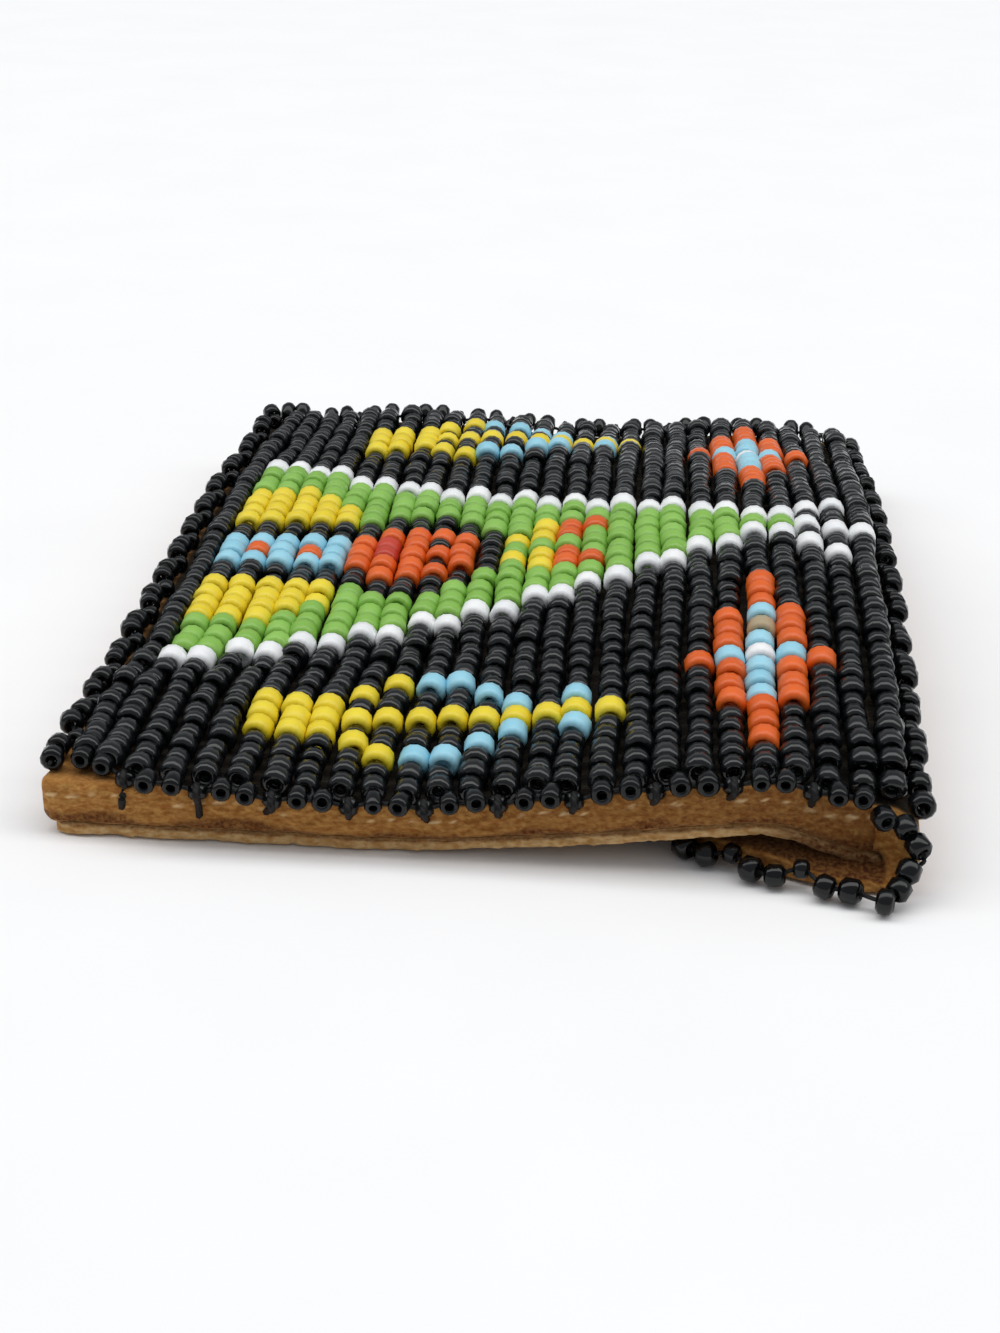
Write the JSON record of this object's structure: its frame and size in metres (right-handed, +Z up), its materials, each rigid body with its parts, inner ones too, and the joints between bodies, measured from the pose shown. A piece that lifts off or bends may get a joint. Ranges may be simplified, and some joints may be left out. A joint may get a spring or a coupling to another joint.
{
  "type": "beaded coin purse",
  "caption": "Flat leather coin purse with a strung-bead front, bead edging on every edge and a rounded flap folded under over its mouth.",
  "frame": {"origin": "on the table, under the middle of the purse's bounding box", "axes": "+X from the sewn bottom edge to the folded mouth, +Y across the purse, +Z up out of the beaded face"},
  "size_m": [0.066, 0.0886, 0.0129],
  "materials": {
    "suede_front": "tan suede, raw cut edges",
    "suede_back": "lighter tan split suede",
    "pattern_beads": "opaque glossy seed beads, black ground with coloured figures",
    "black_beads": "opaque glossy black seed beads"
  },
  "bodies": {
    "pouch": {"back_leather": "suede_back", "front_leather": "suede_front", "fold_leather": "suede_front", "bead_lane_01": "pattern_beads", "bead_lane_02": "pattern_beads", "bead_lane_03": "pattern_beads", "bead_lane_04": "pattern_beads", "bead_lane_05": "pattern_beads", "bead_lane_06": "pattern_beads", "bead_lane_07": "pattern_beads", "bead_lane_08": "pattern_beads", "bead_lane_09": "pattern_beads", "bead_lane_10": "pattern_beads", "bead_lane_11": "pattern_beads", "bead_lane_12": "pattern_beads", "bead_lane_13": "pattern_beads", "bead_lane_14": "pattern_beads", "bead_lane_15": "pattern_beads", "bead_lane_16": "pattern_beads", "bead_lane_17": "pattern_beads", "bead_lane_18": "pattern_beads", "bead_lane_19": "pattern_beads", "bead_lane_20": "pattern_beads", "bead_lane_21": "pattern_beads", "bead_lane_22": "pattern_beads", "bead_lane_23": "pattern_beads", "bead_lane_24": "pattern_beads", "bead_lane_25": "pattern_beads", "bead_lane_26": "pattern_beads", "right_side_edging": "black_beads", "left_side_edging": "black_beads", "bottom_edging": "black_beads", "top_edging": "black_beads", "right_fold_edging": "black_beads", "left_fold_edging": "black_beads"},
    "flap": {"flap_leather": "suede_front", "flap_edging": "black_beads"}
  },
  "joints": [
    {"name": "flap_hinge", "type": "hinge", "parent": "pouch", "child": "flap", "pos_m": [0.0325, 0, 0.004], "axis": [0, -1, 0], "range_deg": [0, 180], "deforming": ["fold_leather"]}
  ]
}
